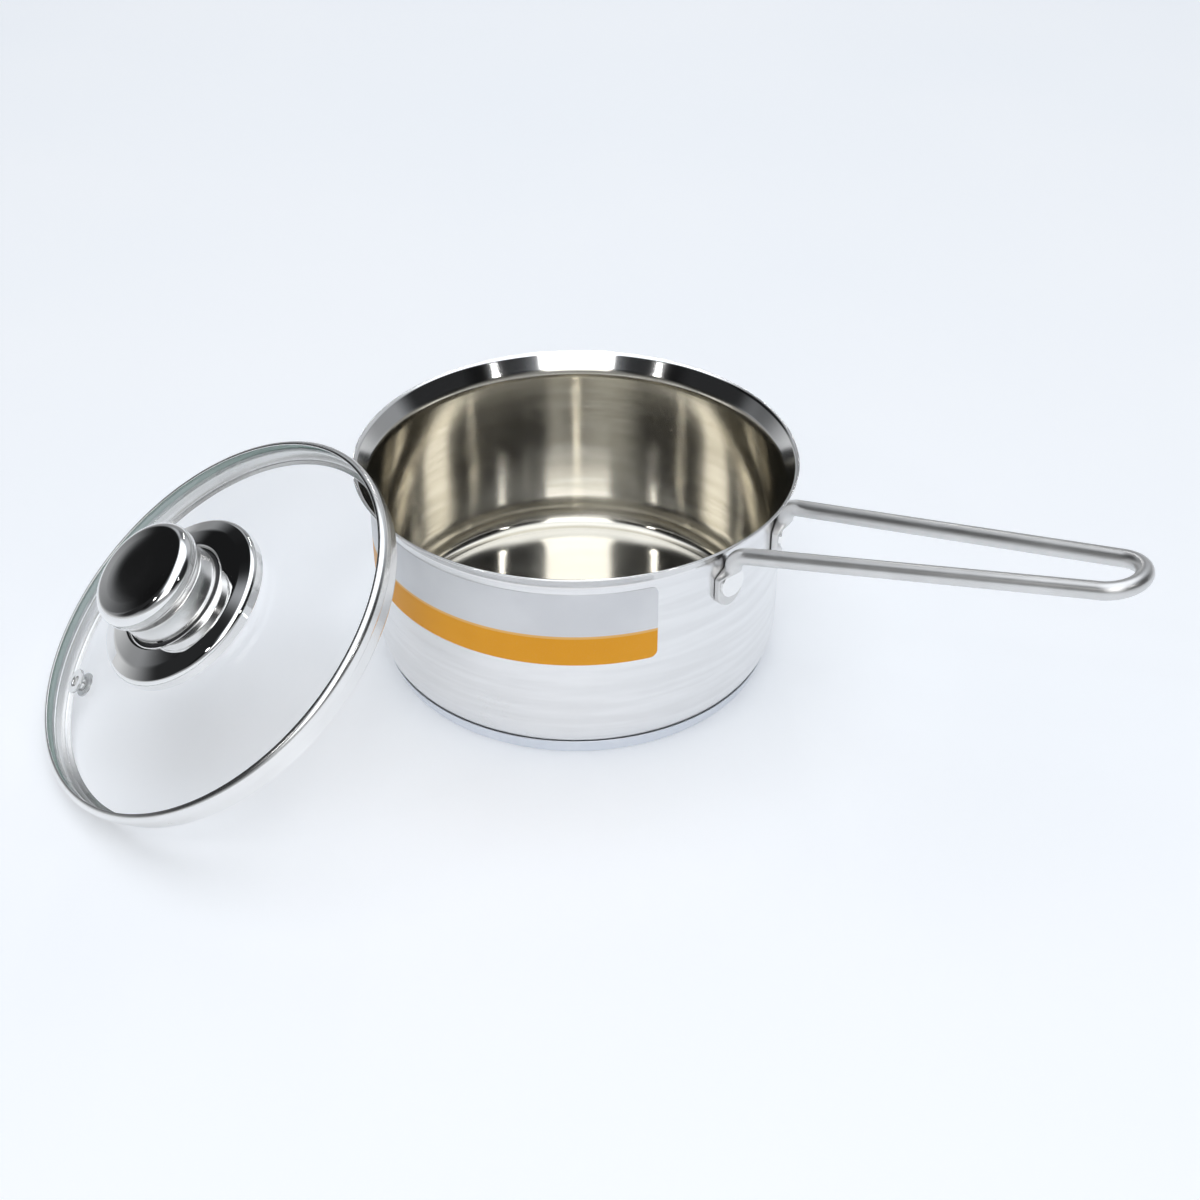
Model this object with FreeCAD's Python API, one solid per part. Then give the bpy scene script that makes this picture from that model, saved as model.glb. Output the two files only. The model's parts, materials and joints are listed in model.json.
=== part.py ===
import FreeCAD, Part
import math
import os

os.makedirs("parts", exist_ok=True)

# Saucepan with a loose glass lid. Millimetres. +Z is up, the origin is the centre of the base on the
# hob, and +X runs along the handle. The lid is built in its own frame and then leaned on the rim.

# ---- driving sizes: vessel ----
WALL_RADIUS = 80.0
PAN_HEIGHT = 86.8
SHEET = 0.7
RIM_OVERHANG = 5.75
FLARE_ANGLE = 36.0
FLARE_HEIGHT = 7.4
FLARE_BEND = 6.65
LIP_ANGLE = 20.0
LIP_BEND = 2.0
CORNER_TURN = 60.0
CORNER_LOWER_BEND = 6.3
CORNER_UPPER_BEND = 20.3
CORE_THICKNESS = 4.6
CAP_SHEET = 0.5
CAP_STEP_HEIGHT = 7.7
CAP_TAPER = 21.0
CAP_BEND = 3.0
CAP_SIDE_GAP = 0.15

# ---- driving sizes: handle ----
ROD_DIAMETER = 6.3
HANDLE_REACH = 223.5
HANDLE_RISE = 12.5
HANDLE_SPREAD = 13.6
LOOP_END_BEND = 11.2
ROD_HEIGHT_BELOW_RIM = 6.2
ROD_WALL_GAP = 0.25
BEND_RADIUS = 6.5
STEM_OVERLAP = 0.5
BLADE_WIDTH = 12.0
BLADE_THICKNESS = 2.6
BLADE_TAIL = 8.8
BLADE_CORNER = 4.5
BLADE_POINT = 1.5
RIVET_BELOW_RIM = 18.2
RIVET_HEAD_RADIUS = 5.6
RIVET_HEAD_HEIGHT = 1.5
RIVET_EDGE = 0.5
RIVET_SHANK_RADIUS = 2.5
RIVET_INNER_HEAD_HEIGHT = 1.6

# ---- driving sizes: sleeve label ----
LABEL_THICKNESS = 0.15
LABEL_HEIGHT = 31.0
LABEL_BELOW_FLARE = 0.6
LABEL_START = -138.0
LABEL_SWEEP = 103.0
LABEL_CORNER = 3.0

# ---- driving sizes: lid ----
LIP_SEAT = 0.7
RING_SHEET = 0.5
RING_LIP_WIDTH = 2.4
RING_BEAD_ROOM = 2.5
RING_HEIGHT = 11.2
SKIRT_INSET = 1.75
RING_BEND = 0.9
FOOT_BEND = 1.0
FOOT_FLANGE = 2.4
GLASS_PLAY = 0.8
GLASS_THICKNESS = 3.0
CROWN = 12.3
SEAL_WIDTH = 1.1
VENT_RADIUS = 57.0
VENT_AZIMUTH = -113.0
EYELET_FLANGE_RADIUS = 4.7
EYELET_BORE_RADIUS = 1.9
EYELET_SHEET = 0.4
VENT_SEAL_THICKNESS = 0.5

# ---- driving sizes: knob ----
GLASS_HOLE_RADIUS = 4.0
GASKET_THICKNESS = 0.6
KNOB_SHEET = 0.6
DISH_WIDTH = 13.7
DISH_EDGE_DROP = 2.8
DISH_RIDGE_HEIGHT = 5.0
RECESS_MARGIN = 1.1
DISH_EDGE_BEND = 1.8
NECK_RADIUS = 19.8
NECK_WAIST = 0.5
NECK_HEIGHT = 15.4
CAP_OVERHANG = 1.5
KNOB_CAP_HEIGHT = 8.2
KNOB_CAP_BEND = 3.8
KNOB_CROWN = 1.1
INSULATING_RING_HEIGHT = 3.2
CORE_PLAY = 0.3
INSERT_RADIUS = 4.0
SCREW_RADIUS = 2.45
SCREW_LENGTH = 14.0
SCREW_HEAD_RADIUS = 4.7
SCREW_HEAD_HEIGHT = 2.6
SCREW_SLOT = 1.2
WASHER_RADIUS = 8.5
WASHER_THICKNESS = 1.0
UNDER_GASKET_RADIUS = 9.5
UNDER_GASKET_THICKNESS = 0.8
WEEP_SLOT_WIDTH = 2.6
WEEP_SLOT_HEIGHT = 1.2
WEEP_SLOT_AZIMUTH = -40.0

# ---- how the lid leans ----
LEAN_AZIMUTH = -118.1
LEAN_OFFSET = -9.0
RIM_CONTACT_SHARE = 0.93
REST_GAP = 0.4
FLOOR_GAP = 0.1

# ---- clearances ----
FIT = 0.05
SEAT_GAP = 0.1

AXIS = FreeCAD.Vector(0, 0, 1)
ORIGIN = FreeCAD.Vector(0, 0, 0)


# ---- profile helpers: a point is (radius, height) ----
def sin(angle):
    return math.sin(math.radians(angle))


def cos(angle):
    return math.cos(math.radians(angle))


def tan(angle):
    return math.tan(math.radians(angle))


def meet(p, p_angle, q, q_angle):
    """Point where the line through p at p_angle crosses the line through q at q_angle."""
    across = sin(q_angle - p_angle)
    along = ((q[0] - p[0]) * sin(q_angle) - (q[1] - p[1]) * cos(q_angle)) / across
    return (p[0] + along * cos(p_angle), p[1] + along * sin(p_angle))


def unit(p, q):
    length = math.hypot(q[0] - p[0], q[1] - p[1])
    return ((q[0] - p[0]) / length, (q[1] - p[1]) / length)


def turn(points, index):
    """Signed turn at a corner of a path; positive turns left."""
    a = unit(points[index - 1], points[index])
    b = unit(points[index], points[index + 1])
    return math.atan2(a[0] * b[1] - a[1] * b[0], a[0] * b[0] + a[1] * b[1])


def shifted(points, distance):
    """The same path moved sideways, to the left when distance is positive."""
    last = len(points) - 1
    result = []
    for index, point in enumerate(points):
        a = unit(points[max(index - 1, 0)], points[max(index, 1)])
        b = unit(points[min(index, last - 1)], points[min(index + 1, last)])
        normal = (-(a[1] + b[1]), a[0] + b[0])
        scale = distance / (1 + a[0] * b[0] + a[1] * b[1])
        result.append((point[0] + normal[0] * scale, point[1] + normal[1] * scale))
    return result


def vector(point):
    return FreeCAD.Vector(point[0], 0, point[1])


def rounded(points, bends):
    """Edges of a path whose inner corners are rounded by the given radii."""
    edges = []
    start = points[0]
    for index in range(1, len(points) - 1):
        corner = points[index]
        angle = turn(points, index)
        back = unit(corner, points[index - 1])
        ahead = unit(corner, points[index + 1])
        tangent = bends[index - 1] * math.tan(abs(angle) / 2)
        first = (corner[0] + back[0] * tangent, corner[1] + back[1] * tangent)
        second = (corner[0] + ahead[0] * tangent, corner[1] + ahead[1] * tangent)
        inward = unit((0, 0), (back[0] + ahead[0], back[1] + ahead[1]))
        depth = bends[index - 1] * (1 / math.cos(angle / 2) - 1)
        middle = (corner[0] + inward[0] * depth, corner[1] + inward[1] * depth)
        edges.append(Part.makeLine(vector(start), vector(first)))
        edges.append(Part.Arc(vector(first), vector(middle), vector(second)).toShape())
        start = second
    edges.append(Part.makeLine(vector(start), vector(points[-1])))
    return edges


def spun(edges):
    """Solid of revolution of a closed profile about the vertical axis."""
    face = Part.Face(Part.Wire(Part.__sortEdges__(edges)))
    return face.revolve(ORIGIN, AXIS, 360)


def sheet(points, bends, thickness, round_start=False, round_end=True):
    """Bent sheet metal of one thickness, spun about the axis; points and bends follow its middle."""
    half = thickness / 2
    signs = [math.copysign(half, turn(points, index)) for index in range(1, len(points) - 1)]
    left = shifted(points, half)
    right = shifted(points, -half)
    edges = rounded(left, [bend - sign for bend, sign in zip(bends, signs)])
    edges += rounded(right, [bend + sign for bend, sign in zip(bends, signs)])
    ends = ((left[0], right[0], points[1], points[0], round_start),
            (left[-1], right[-1], points[-2], points[-1], round_end))
    for a, b, inner, outer, rounded_off in ends:
        if rounded_off:
            way = unit(inner, outer)
            tip = (outer[0] + way[0] * half, outer[1] + way[1] * half)
            edges.append(Part.Arc(vector(a), vector(tip), vector(b)).toShape())
        else:
            edges.append(Part.makeLine(vector(a), vector(b)))
    return spun(edges)


def tube(inner, outer, low, high):
    """Flat ring or plain tube between two radii and two heights."""
    corners = [(inner, low), (outer, low), (outer, high), (inner, high), (inner, low)]
    return spun([Part.makeLine(vector(a), vector(b)) for a, b in zip(corners, corners[1:])])


def disc(radius, low, high):
    return Part.makeCylinder(radius, high - low, FreeCAD.Vector(0, 0, low))


# ---- vessel ----
WALL_MIDDLE = WALL_RADIUS - SHEET / 2
RIM_RADIUS = WALL_RADIUS + RIM_OVERHANG
VESSEL_UNDERSIDE = CAP_SHEET + CORE_THICKNESS
RIM_TIP = (RIM_RADIUS - SHEET / 2, PAN_HEIGHT - SHEET / 2)


def vessel_path():
    floor = VESSEL_UNDERSIDE + SHEET / 2
    slant = CORNER_LOWER_BEND * tan(CORNER_TURN / 2)
    slant += CORNER_UPPER_BEND * tan((90 - CORNER_TURN) / 2)
    slant += SEAT_GAP
    corner = (WALL_MIDDLE - slant * cos(CORNER_TURN), floor)
    shoulder = (WALL_MIDDLE, floor + slant * sin(CORNER_TURN))
    flare = (WALL_MIDDLE, PAN_HEIGHT - FLARE_HEIGHT)
    lip = meet(flare, 90 - FLARE_ANGLE, RIM_TIP, LIP_ANGLE)
    points = [(0, floor), corner, shoulder, flare, lip, RIM_TIP]
    bends = [CORNER_LOWER_BEND, CORNER_UPPER_BEND, FLARE_BEND, LIP_BEND]
    return points, bends


def pan_body():
    points, bends = vessel_path()
    return sheet(points, bends, SHEET)


def base_core():
    corner = vessel_path()[0][1]
    flat = corner[0] - CORNER_LOWER_BEND * tan(CORNER_TURN / 2)
    return disc(flat, CAP_SHEET, VESSEL_UNDERSIDE)


def base_cap():
    points = vessel_path()[0]
    corner, shoulder = points[1], points[2]
    side = meet(corner, CORNER_TURN, (0, CAP_STEP_HEIGHT), 0)[0] + SHEET / 2 / sin(CORNER_TURN)
    top = (side + CAP_SIDE_GAP + CAP_SHEET / 2, CAP_STEP_HEIGHT - CAP_SHEET / 2)
    foot = meet(top, 90 - CAP_TAPER, (0, CAP_SHEET / 2), 0)
    return sheet([(0, CAP_SHEET / 2), foot, top], [CAP_BEND], CAP_SHEET)


# ---- handle ----
ROD_RADIUS = ROD_DIAMETER / 2
STEM_RADIUS = WALL_RADIUS + ROD_RADIUS + ROD_WALL_GAP
ROD_CORNER_HEIGHT = PAN_HEIGHT - ROD_HEIGHT_BELOW_RIM
RIVET_HEIGHT = PAN_HEIGHT - RIVET_BELOW_RIM
BLADE_BOTTOM = RIVET_HEIGHT - BLADE_TAIL
BLADE_TAPER_START = RIVET_HEIGHT + BLADE_THICKNESS
BLADE_MIDDLE = WALL_RADIUS + BLADE_THICKNESS / 2
BLADE_FACE = WALL_RADIUS + BLADE_THICKNESS


def around(radius, azimuth, height):
    return FreeCAD.Vector(radius * cos(azimuth), radius * sin(azimuth), height)


def bend_points(before, corner, after, radius):
    """Start, middle and end of the arc that rounds a corner of a path in space."""
    back = (before - corner).normalize()
    ahead = (after - corner).normalize()
    half = (math.pi - back.getAngle(ahead)) / 2
    tangent = radius * math.tan(half)
    inward = (back + ahead).normalize()
    middle = corner + inward * (radius * (1 / math.cos(half) - 1))
    return corner + back * tangent, middle, corner + ahead * tangent


def loop_end(corner):
    """Centre line of the far bend of the loop, from the side of corner to its mirror image."""
    tip = FreeCAD.Vector(HANDLE_REACH - ROD_RADIUS, 0, 0)
    tip.z = corner.z + (tip.x - corner.x) * tan(HANDLE_RISE)
    forward = FreeCAD.Vector(cos(HANDLE_RISE), 0, sin(HANDLE_RISE))
    centre = tip - forward * LOOP_END_BEND
    run = (centre - corner).dot(forward)
    spread = abs(corner.y)
    converge = math.atan2(spread, run) - math.asin(LOOP_END_BEND / math.hypot(run, spread))
    side = FreeCAD.Vector(0, math.copysign(1, corner.y), 0)
    start = centre + (forward * math.sin(converge) + side * math.cos(converge)) * LOOP_END_BEND
    return start, tip, FreeCAD.Vector(start.x, -start.y, start.z)


def oval(radius, azimuth, height, width, depth):
    """Oval outline in a horizontal plane, its width along the wall and its depth outwards."""
    centre = around(radius, azimuth, height)
    side = around(width / 2, azimuth + 90, 0)
    out = around(depth / 2, azimuth, 0)
    return Part.Wire(Part.Ellipse(centre + side, centre + out, centre).toShape())


def blade(azimuth, top):
    """Flat plate against the wall: rounded at the bottom, narrowing to the rod at the top."""
    half = BLADE_WIDTH / 2
    taper = BLADE_TAPER_START
    outline = [(0, BLADE_BOTTOM - BLADE_POINT), (half, BLADE_BOTTOM + BLADE_POINT), (half, taper),
               (ROD_RADIUS - FIT, top), (FIT - ROD_RADIUS, top), (-half, taper),
               (-half, BLADE_BOTTOM + BLADE_POINT), (0, BLADE_BOTTOM - BLADE_POINT)]
    start = ((outline[0][0] + outline[1][0]) / 2, BLADE_BOTTOM)
    path = [start] + outline[1:] + [start]
    edges = rounded(path, [BLADE_CORNER, BLADE_CORNER, FIT, FIT, BLADE_CORNER, BLADE_CORNER, BLADE_CORNER])
    plate = Part.Face(Part.Wire(Part.__sortEdges__(edges)))
    plate = plate.extrude(FreeCAD.Vector(0, BLADE_THICKNESS + SHEET, 0))
    plate.rotate(ORIGIN, AXIS, 90)
    plate.translate(FreeCAD.Vector(BLADE_FACE, 0, 0))
    plate.rotate(ORIGIN, AXIS, azimuth)
    return plate


def handle_leg(azimuth, stem_top):
    """Flattened blade against the wall, swelling into the round rod."""
    stem = ROD_DIAMETER - 2 * FIT
    low = oval(BLADE_MIDDLE, azimuth, BLADE_TAPER_START, BLADE_WIDTH - BLADE_POINT,
               BLADE_THICKNESS - BLADE_POINT / 3)
    high = oval(STEM_RADIUS, azimuth, stem_top + STEM_OVERLAP, stem, stem)
    return blade(azimuth, stem_top).fuse(Part.makeLoft([low, high], True, True))


def handle_rod():
    corner = around(STEM_RADIUS, -HANDLE_SPREAD, ROD_CORNER_HEIGHT)
    mirrored = FreeCAD.Vector(corner.x, -corner.y, corner.z)
    start, tip, finish = loop_end(corner)
    foot = FreeCAD.Vector(corner.x, corner.y, RIVET_HEIGHT)
    other_foot = FreeCAD.Vector(corner.x, -corner.y, RIVET_HEIGHT)
    a0, a1, a2 = bend_points(foot, corner, start, BEND_RADIUS)
    b0, b1, b2 = bend_points(finish, mirrored, other_foot, BEND_RADIUS)
    path = Part.Wire([Part.Arc(a0, a1, a2).toShape(), Part.makeLine(a2, start),
                      Part.Arc(start, tip, finish).toShape(), Part.makeLine(finish, b0),
                      Part.Arc(b0, b1, b2).toShape()])
    section = Part.Wire(Part.makeCircle(ROD_RADIUS, a0, AXIS))
    rod = path.makePipeShell([section], True, True)
    rod = rod.fuse([handle_leg(-HANDLE_SPREAD, a0.z), handle_leg(HANDLE_SPREAD, a0.z)])
    rod = rod.cut(disc(WALL_RADIUS, 0, PAN_HEIGHT))
    for azimuth in (-HANDLE_SPREAD, HANDLE_SPREAD):
        rod = rod.cut(rivet_room(azimuth))
    return rod.removeSplitter()


def laid_out(shape, azimuth):
    """Turn a shape built along +Z so that it points out of the wall at the rivet's height."""
    shape.rotate(ORIGIN, FreeCAD.Vector(0, 1, 0), 90)
    shape.translate(FreeCAD.Vector(0, 0, RIVET_HEIGHT))
    shape.rotate(ORIGIN, AXIS, azimuth)
    return shape


def rivet_room(azimuth):
    """Hole for the shank and flat seat for the head."""
    hole = disc(RIVET_SHANK_RADIUS + FIT, WALL_RADIUS - 4 * SHEET, BLADE_FACE + 1)
    seat = disc(RIVET_HEAD_RADIUS + FIT, BLADE_FACE, BLADE_FACE + 3 * RIVET_HEAD_HEIGHT)
    return laid_out(hole.fuse(seat), azimuth)


def rivet(azimuth):
    outer = BLADE_FACE + RIVET_HEAD_HEIGHT
    inner = math.sqrt((WALL_RADIUS - SHEET) ** 2 - RIVET_HEAD_RADIUS ** 2)
    crown = inner - RIVET_INNER_HEAD_HEIGHT
    profile = [(0, outer), (RIVET_HEAD_RADIUS, outer), (RIVET_HEAD_RADIUS, BLADE_FACE),
               (RIVET_SHANK_RADIUS, BLADE_FACE), (RIVET_SHANK_RADIUS, inner),
               (RIVET_HEAD_RADIUS, inner - SEAT_GAP), (RIVET_SHANK_RADIUS, crown), (0, crown)]
    bends = [RIVET_EDGE, FIT, FIT, FIT, FIT, RIVET_INNER_HEAD_HEIGHT]
    edges = rounded(profile, bends)
    edges.append(Part.makeLine(vector(profile[-1]), vector(profile[0])))
    return laid_out(spun(edges), azimuth)


def label():
    flare_start = PAN_HEIGHT - FLARE_HEIGHT - FLARE_BEND * tan(FLARE_ANGLE / 2)
    high = flare_start - LABEL_BELOW_FLARE
    low = high - LABEL_HEIGHT
    corners = [(WALL_RADIUS, low), (WALL_RADIUS + LABEL_THICKNESS, low),
               (WALL_RADIUS + LABEL_THICKNESS, high), (WALL_RADIUS, high), (WALL_RADIUS, low)]
    outline = Part.Wire([Part.makeLine(vector(a), vector(b)) for a, b in zip(corners, corners[1:])])
    wrap = Part.Face(outline).revolve(ORIGIN, AXIS, LABEL_SWEEP)
    short = [edge for edge in wrap.Edges if edge.Length < 2 * LABEL_THICKNESS]
    wrap = wrap.makeFillet(LABEL_CORNER, short)
    wrap.rotate(ORIGIN, AXIS, LABEL_START)
    return wrap


# ---- lid, in its own frame: heights are measured from the top of its steel ring ----
LID_RADIUS = WALL_RADIUS - SHEET + LIP_SEAT
GLASS_RADIUS = LID_RADIUS - RING_SHEET - GLASS_PLAY
LIP_RADIUS = LID_RADIUS - RING_LIP_WIDTH - RING_SHEET / 2
GLASS_RISE = CROWN + RING_SHEET + SEAT_GAP
SPHERE_RADIUS = (LIP_RADIUS ** 2 + GLASS_RISE ** 2) / (2 * GLASS_RISE)
SPHERE_CENTRE = CROWN - SPHERE_RADIUS
UNDER_CROWN = CROWN - GLASS_THICKNESS
RING_BEAD_HEIGHT = GLASS_THICKNESS + RING_BEAD_ROOM
SKIRT_MIDDLE = LID_RADIUS - SKIRT_INSET - RING_SHEET / 2
VENT_LEAN = math.degrees(math.asin(VENT_RADIUS / SPHERE_RADIUS))


def lid_ring():
    half = RING_SHEET / 2
    wall = LID_RADIUS - half
    points = [(LID_RADIUS - RING_LIP_WIDTH, -half), (wall, -half), (wall, half - RING_BEAD_HEIGHT),
              (SKIRT_MIDDLE, half - RING_BEAD_HEIGHT), (SKIRT_MIDDLE, half - RING_HEIGHT),
              (SKIRT_MIDDLE - FOOT_FLANGE, half - RING_HEIGHT)]
    bends = [RING_BEND, RING_BEND, RING_SHEET, FOOT_BEND]
    return sheet(points, bends, RING_SHEET, round_start=True)


def plain_glass():
    below = -2 * GLASS_THICKNESS
    centre = FreeCAD.Vector(0, 0, SPHERE_CENTRE)
    outer = Part.makeSphere(SPHERE_RADIUS, centre)
    inner = Part.makeSphere(SPHERE_RADIUS - GLASS_THICKNESS, centre)
    return disc(GLASS_RADIUS, below, CROWN + 1).common(outer).cut(inner)


def at_vent(shape):
    """Carry a shape built on the crown of the glass to the place of the steam vent."""
    shape.rotate(FreeCAD.Vector(0, 0, SPHERE_CENTRE), FreeCAD.Vector(0, 1, 0), VENT_LEAN)
    shape.rotate(ORIGIN, AXIS, VENT_AZIMUTH)
    return shape


EYELET_TUBE = EYELET_BORE_RADIUS + EYELET_SHEET
VENT_HOLE = EYELET_TUBE + VENT_SEAL_THICKNESS


def lid_glass():
    vent = at_vent(disc(VENT_HOLE, UNDER_CROWN - GLASS_THICKNESS, CROWN + GLASS_THICKNESS))
    return plain_glass().cut([disc(GLASS_HOLE_RADIUS, 0, 2 * CROWN), vent])


def ring_seal(glass, ring):
    inner = GLASS_RADIUS - SEAL_WIDTH / 2
    outer = LID_RADIUS - RING_SHEET
    block = tube(inner, outer, RING_SHEET - RING_BEAD_HEIGHT, -RING_SHEET)
    return block.cut([glass, ring])


def vent_eyelet():
    half = EYELET_SHEET / 2
    high = CROWN + VENT_SEAL_THICKNESS + half
    low = UNDER_CROWN - VENT_SEAL_THICKNESS - half
    wall = EYELET_BORE_RADIUS + half
    rim = EYELET_FLANGE_RADIUS - half
    points = [(rim, low), (wall, low), (wall, high), (rim, high)]
    return at_vent(sheet(points, [EYELET_SHEET, EYELET_SHEET], EYELET_SHEET, round_start=True))


def vent_seal(low, high, glass):
    flange = tube(EYELET_TUBE + FIT + EYELET_SHEET, EYELET_FLANGE_RADIUS - FIT, low, high)
    return at_vent(flange).cut(glass)


DISH_FLOOR = CROWN + GASKET_THICKNESS
DISH_TOP = DISH_FLOOR + KNOB_SHEET
RECESS_RADIUS = NECK_RADIUS + RECESS_MARGIN
DISH_RADIUS = RECESS_RADIUS + DISH_WIDTH
CAP_RADIUS = NECK_RADIUS + CAP_OVERHANG


def knob_dish():
    half = KNOB_SHEET / 2
    ridge = DISH_FLOOR + DISH_RIDGE_HEIGHT
    edge = DISH_RADIUS - half
    glass_at_edge = SPHERE_CENTRE + math.sqrt(SPHERE_RADIUS ** 2 - DISH_RADIUS ** 2)
    points = [(SCREW_RADIUS + 3 * FIT + half, DISH_FLOOR + half), (RECESS_RADIUS, DISH_FLOOR + half),
              (RECESS_RADIUS, ridge), ((RECESS_RADIUS + edge) / 2 + 1, ridge - DISH_EDGE_DROP / 2),
              (edge, ridge - 2 * DISH_EDGE_DROP / 2 - half), (edge, glass_at_edge + 2 * SEAT_GAP + half)]
    bends = [3 * half, 4 * half, 20 * KNOB_SHEET, DISH_EDGE_BEND]
    return sheet(points, bends, KNOB_SHEET, round_start=True)


NECK_FOOT = DISH_TOP + SEAT_GAP
NECK_TOP = NECK_FOOT + NECK_HEIGHT


def knob_neck():
    half = KNOB_SHEET / 2
    foot = NECK_RADIUS - half
    waist = foot - NECK_WAIST
    points = [(foot, NECK_FOOT), (foot, NECK_FOOT + NECK_HEIGHT / 3),
              (waist, NECK_TOP - NECK_HEIGHT / 5), (CAP_RADIUS - 3 * half, NECK_TOP)]
    neck = sheet(points, [NECK_RADIUS, NECK_HEIGHT / 5], KNOB_SHEET, round_end=False)
    slot = Part.makeBox(2 * NECK_RADIUS, WEEP_SLOT_WIDTH, WEEP_SLOT_HEIGHT,
                        FreeCAD.Vector(0, -WEEP_SLOT_WIDTH / 2, DISH_FLOOR + DISH_RIDGE_HEIGHT))
    slot.rotate(ORIGIN, AXIS, WEEP_SLOT_AZIMUTH)
    return neck.cut(slot)


def knob_cap():
    half = KNOB_SHEET / 2
    low = NECK_TOP + half + SEAT_GAP
    wall = CAP_RADIUS - half
    top = NECK_TOP + KNOB_CAP_HEIGHT
    points = [(wall - 4 * half, low), (wall, low + 2 * half), (wall, top - half - KNOB_CROWN),
              (wall / 2, top - half), (0, top - half)]
    bends = [KNOB_SHEET, KNOB_CAP_BEND, 3 * CAP_RADIUS]
    return sheet(points, bends, KNOB_SHEET, round_start=True, round_end=False)


def insulating_ring():
    return tube(NECK_RADIUS + FIT, RECESS_RADIUS - KNOB_SHEET / 2 - FIT,
                DISH_TOP + KNOB_SHEET, DISH_TOP + KNOB_SHEET + INSULATING_RING_HEIGHT)


def knob_core():
    radius = NECK_RADIUS - KNOB_SHEET - NECK_WAIST - CORE_PLAY
    return tube(INSERT_RADIUS, radius, NECK_FOOT, NECK_TOP)


def knob_insert():
    return tube(SCREW_RADIUS + FIT, INSERT_RADIUS, NECK_FOOT, NECK_TOP - NECK_HEIGHT / 5)


HEAD_SEAT = UNDER_CROWN - UNDER_GASKET_THICKNESS - WASHER_THICKNESS


def knob_screw():
    low = HEAD_SEAT - SCREW_HEAD_HEIGHT
    profile = [(0, low), (SCREW_HEAD_RADIUS, low), (SCREW_HEAD_RADIUS, HEAD_SEAT),
               (SCREW_RADIUS, HEAD_SEAT), (SCREW_RADIUS, HEAD_SEAT + SCREW_LENGTH),
               (0, HEAD_SEAT + SCREW_LENGTH)]
    edges = rounded(profile, [SCREW_HEAD_HEIGHT / 2, FIT, FIT, SCREW_RADIUS / 4])
    edges.append(Part.makeLine(vector(profile[-1]), vector(profile[0])))
    screw = spun(edges)
    for turned in (0, 90):
        slot = Part.makeBox(SCREW_HEAD_RADIUS, SCREW_SLOT, SCREW_HEAD_HEIGHT / 2,
                            FreeCAD.Vector(-SCREW_HEAD_RADIUS / 2, -SCREW_SLOT / 2, low))
        slot.rotate(ORIGIN, AXIS, turned)
        screw = screw.cut(slot)
    return screw


def screw_washer():
    return tube(SCREW_RADIUS + 2 * FIT, WASHER_RADIUS, HEAD_SEAT, HEAD_SEAT + WASHER_THICKNESS)


def under_gasket(glass):
    """Rubber washer under the glass, with a sleeve that keeps the screw off the glass."""
    flange = disc(UNDER_GASKET_RADIUS, HEAD_SEAT + WASHER_THICKNESS, UNDER_CROWN + SEAT_GAP)
    sleeve = disc(GLASS_HOLE_RADIUS - FIT, UNDER_CROWN, CROWN)
    return flange.fuse(sleeve).cut([disc(SCREW_RADIUS + 2 * FIT, 0, CROWN + 1), glass])


def dish_gasket(glass):
    return tube(GLASS_HOLE_RADIUS, NECK_RADIUS, CROWN - GLASS_THICKNESS / 2, DISH_FLOOR).cut(glass)


# ---- the leaning lid: its foot stands on the hob and its skirt crosses the rim ----
def rim_clearance(placement):
    """Shortest distance from the rolled foot of the lid's ring to the lip of the pan."""
    half = RING_SHEET / 2
    circles = [(SKIRT_MIDDLE - FOOT_BEND, FOOT_BEND - RING_HEIGHT + half, FOOT_BEND + half)]
    for share in (0.4, 0.6, 0.8, 1.0):
        circles.append((SKIRT_MIDDLE - share * FOOT_FLANGE, half - RING_HEIGHT, half))
    nearest = RIM_RADIUS
    for radius, height, thickness in circles:
        for step in range(2 * 360):
            point = placement.multVec(around(radius, step / 2, height))
            distance = math.hypot(math.hypot(point.x, point.y) - RIM_TIP[0], point.z - RIM_TIP[1])
            nearest = min(nearest, distance - thickness - SHEET / 2)
    return nearest


def leaning_placement():
    """The tilt follows from the pan's height and from how far up the foot circle the rim meets it."""
    tube_radius = FOOT_BEND + RING_SHEET / 2
    foot_radius = SKIRT_MIDDLE - FOOT_BEND
    foot_depth = RING_HEIGHT - tube_radius
    contact = PAN_HEIGHT + tube_radius
    lowest = FLOOR_GAP + tube_radius
    tilt = math.degrees(math.asin((contact - lowest) / (foot_radius * (1 + RIM_CONTACT_SHARE))))
    across = foot_radius * math.sqrt(1 - RIM_CONTACT_SHARE ** 2) + LEAN_OFFSET
    reach = math.sqrt(RIM_TIP[0] ** 2 - across ** 2) + foot_radius * RIM_CONTACT_SHARE * cos(tilt)
    out = around(1, LEAN_AZIMUTH, 0)
    side = around(1, LEAN_AZIMUTH + 90, 0)
    normal = out * sin(tilt) + AXIS * cos(tilt)
    uphill = normal.cross(side)
    centre_height = lowest + foot_radius * sin(tilt)
    origin = out * reach + side * LEAN_OFFSET + AXIS * centre_height + normal * foot_depth
    matrix = FreeCAD.Matrix(side.x, uphill.x, normal.x, origin.x,
                            side.y, uphill.y, normal.y, origin.y,
                            side.z, uphill.z, normal.z, origin.z)
    placement = FreeCAD.Placement(matrix)
    step = REST_GAP
    while step > SEAT_GAP / 100:
        placement.Base = placement.Base + out * step
        if rim_clearance(placement) > REST_GAP:
            placement.Base = placement.Base - out * step
            step = step / 2
    return placement


def pan_parts():
    body = pan_body()
    for azimuth in (-HANDLE_SPREAD, HANDLE_SPREAD):
        body = body.cut(rivet_room(azimuth))
    return {"pan_body": body, "base_core": base_core(), "base_cap": base_cap(),
            "handle_rod": handle_rod(), "handle_rivet_near": rivet(-HANDLE_SPREAD),
            "handle_rivet_far": rivet(HANDLE_SPREAD), "label": label()}


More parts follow.
